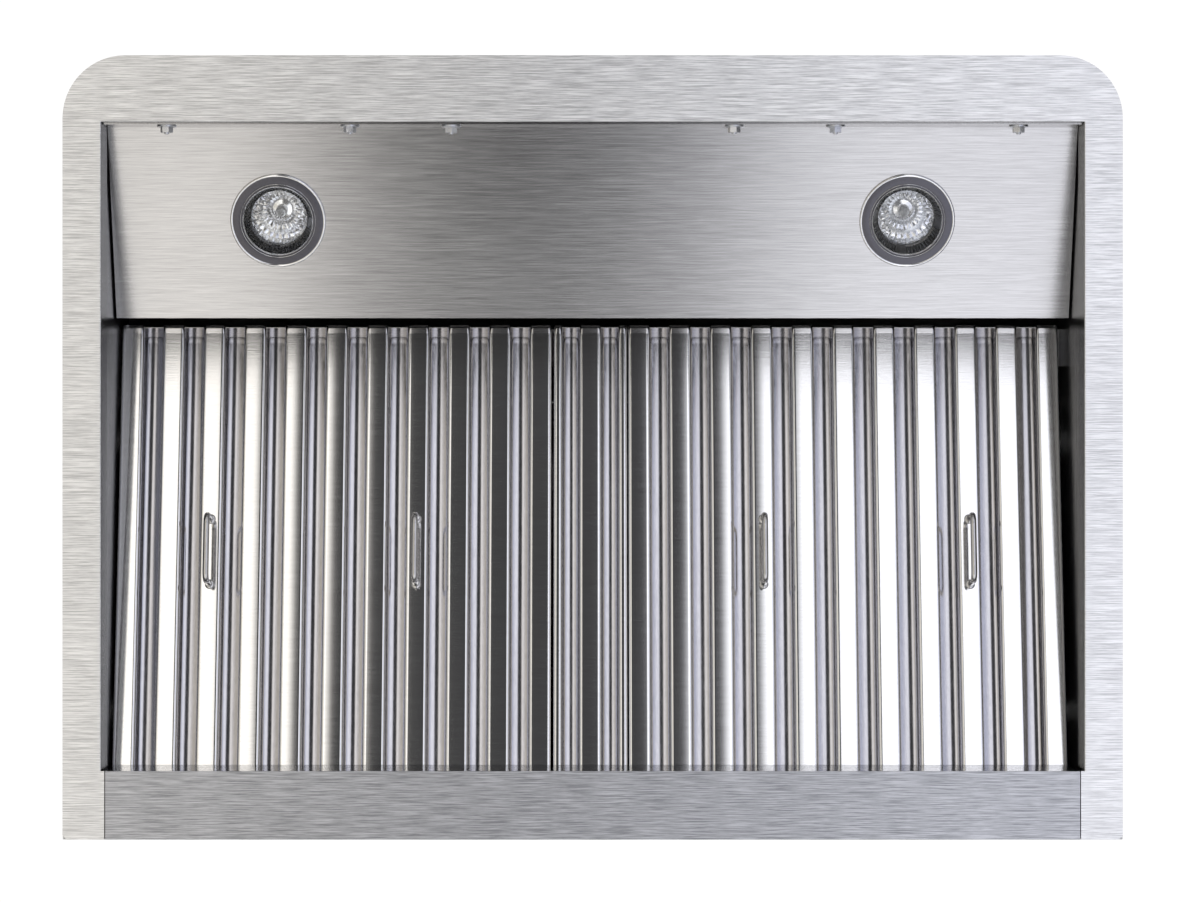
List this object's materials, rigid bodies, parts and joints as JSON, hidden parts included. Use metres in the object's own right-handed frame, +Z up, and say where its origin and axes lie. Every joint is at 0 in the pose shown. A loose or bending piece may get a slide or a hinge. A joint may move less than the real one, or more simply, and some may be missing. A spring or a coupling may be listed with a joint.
{
  "type": "ducted range hood",
  "caption": "Wall-mounted ducted range hood with brushed steel canopy, sloped light panel with halogen lamps, removable baffle filters with wire handles, blower and damper collar.",
  "frame": {"origin": "centre of the rim's underside", "axes": "+X to the hood's right seen from the front, -Y the front, +Y the wall, +Z up to the duct collar"},
  "size_m": [0.7588, 0.5614, 0.497],
  "materials": {
    "brushed_steel": "horizontal brushed grain",
    "panel_steel": "fine horizontal brushed grain",
    "baffle_steel": "bright rolled sheet with light cross brushing",
    "galvanised_steel": "dull zinc spangle",
    "chrome_trim": "polished",
    "satin_trim": "satin turned",
    "reflector": "faceted dichroic mirror",
    "lamp_glass": "clear",
    "ceramic": "unglazed ceramic",
    "zinc_fastener": "bright zinc",
    "black_plastic": "fine texture",
    "grey_plastic": "fine texture",
    "button_steel": "satin",
    "motor_paint": "semi-gloss black",
    "shaft_steel": "ground",
    "foam_seal": "matt"
  },
  "bodies": {
    "canopy": {"rim_frame": "brushed_steel", "front_band": "brushed_steel", "rear_rail": "brushed_steel", "front_panel": "brushed_steel", "side_panel_left": "brushed_steel", "side_panel_right": "brushed_steel", "top_panel": "brushed_steel", "back_panel": "galvanised_steel", "side_liner_left": "panel_steel", "side_liner_right": "panel_steel", "light_panel": "panel_steel", "lamp_trim_left": "satin_trim", "lamp_trim_right": "satin_trim", "lamp_bulb_left": "reflector", "lamp_bulb_right": "reflector", "lamp_glass_left": "lamp_glass", "lamp_glass_right": "lamp_glass", "lamp_sockets": "ceramic", "lamp_clips": "zinc_fastener", "lip_studs": "zinc_fastener", "flange_nuts": "zinc_fastener", "catch_rail": "galvanised_steel", "filter_catches": "zinc_fastener", "scroll_wrap": "galvanised_steel", "scroll_side_left": "galvanised_steel", "scroll_side_right": "galvanised_steel", "inlet_ring_left": "galvanised_steel", "inlet_ring_right": "galvanised_steel", "motor_body": "motor_paint", "motor_bracket": "galvanised_steel", "run_capacitor": "grey_plastic", "duct_collar": "galvanised_steel", "collar_screws": "zinc_fastener", "damper_seal": "foam_seal", "damper_pin": "shaft_steel", "switch_housing": "black_plastic", "junction_box": "galvanised_steel", "junction_cover": "galvanised_steel", "cable_gland": "black_plastic"},
    "filter_left": {"filter_lower_baffles_left": "baffle_steel", "filter_upper_baffles_left": "baffle_steel", "filter_end_caps_left": "baffle_steel", "filter_handles_left": "chrome_trim"},
    "filter_right": {"filter_lower_baffles_right": "baffle_steel", "filter_upper_baffles_right": "baffle_steel", "filter_end_caps_right": "baffle_steel", "filter_handles_right": "chrome_trim"},
    "spacer_filter": {"spacer_lower_baffles": "baffle_steel", "spacer_upper_baffles": "baffle_steel", "spacer_end_caps": "baffle_steel"},
    "wheel": {"fan_wheel": "galvanised_steel", "fan_shaft": "shaft_steel"},
    "flap_front": {"damper_flap_front": "galvanised_steel"},
    "flap_rear": {"damper_flap_rear": "galvanised_steel"},
    "push_light": {"button_light": "button_steel"},
    "push_power": {"button_power": "button_steel"},
    "push_low": {"button_low": "button_steel"},
    "push_medium": {"button_medium": "button_steel"},
    "push_high": {"button_high": "button_steel"}
  },
  "joints": [
    {"name": "filter_left_drop", "type": "hinge", "parent": "canopy", "child": "filter_left", "pos_m": [0, 0.2316, 0.047], "axis": [1, 0, 0], "range_deg": [0, 70]},
    {"name": "filter_right_drop", "type": "hinge", "parent": "canopy", "child": "filter_right", "pos_m": [0, 0.2316, 0.047], "axis": [1, 0, 0], "range_deg": [0, 70]},
    {"name": "spacer_drop", "type": "hinge", "parent": "canopy", "child": "spacer_filter", "pos_m": [0, 0.2316, 0.047], "axis": [1, 0, 0], "range_deg": [0, 70]},
    {"name": "wheel_spin", "type": "hinge", "parent": "canopy", "child": "wheel", "pos_m": [0, 0.11, 0.285], "axis": [1, 0, 0], "continuous": true},
    {"name": "flap_front_open", "type": "hinge", "parent": "canopy", "child": "flap_front", "pos_m": [0, 0.098, 0.471], "axis": [-1, 0, 0], "range_deg": [0, 75]},
    {"name": "flap_rear_open", "type": "hinge", "parent": "canopy", "child": "flap_rear", "pos_m": [0, 0.098, 0.471], "axis": [1, 0, 0], "range_deg": [0, 75]},
    {"name": "press_light", "type": "slide", "parent": "canopy", "child": "push_light", "axis": [0, 1, 0], "range_m": [0, 0.0025], "stiffness_N_per_m": 250, "springref_m": -0.001},
    {"name": "press_power", "type": "slide", "parent": "canopy", "child": "push_power", "axis": [0, 1, 0], "range_m": [0, 0.0025], "stiffness_N_per_m": 250, "springref_m": -0.001},
    {"name": "press_low", "type": "slide", "parent": "canopy", "child": "push_low", "axis": [0, 1, 0], "range_m": [0, 0.0025], "stiffness_N_per_m": 250, "springref_m": -0.001},
    {"name": "press_medium", "type": "slide", "parent": "canopy", "child": "push_medium", "axis": [0, 1, 0], "range_m": [0, 0.0025], "stiffness_N_per_m": 250, "springref_m": -0.001},
    {"name": "press_high", "type": "slide", "parent": "canopy", "child": "push_high", "axis": [0, 1, 0], "range_m": [0, 0.0025], "stiffness_N_per_m": 250, "springref_m": -0.001}
  ]
}
